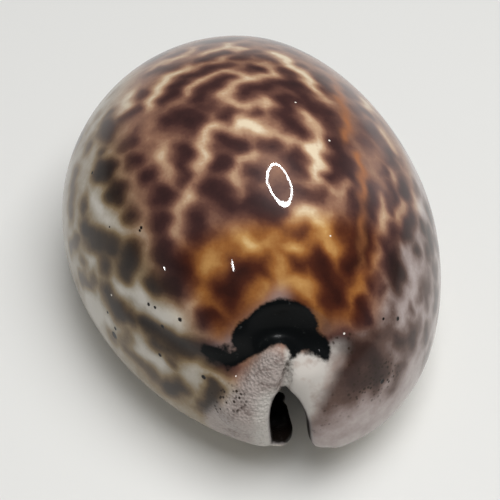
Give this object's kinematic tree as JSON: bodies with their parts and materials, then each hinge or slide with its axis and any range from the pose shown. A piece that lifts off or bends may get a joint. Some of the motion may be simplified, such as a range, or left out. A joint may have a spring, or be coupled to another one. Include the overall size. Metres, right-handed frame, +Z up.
{
  "type": "cowrie shell",
  "caption": "Hollow egg-shaped cowrie shell with a glossy spotted dome, a sunken spire, and a toothed slit along its flat base that ends in a canal at each end.",
  "frame": {"origin": "centre of the bounding box in plan, on the surface that the shell rests on", "axes": "+Z up; +Y along the shell towards the siphon end, so the spire end faces -Y; the outer lip is on +X"},
  "size_m": [0.064, 0.0856, 0.0462],
  "materials": {
    "shell": "glossy natural enamel, dark brown spots over cream and tan, white base"
  },
  "bodies": {
    "root": {"shell": "shell"}
  },
  "joints": []
}
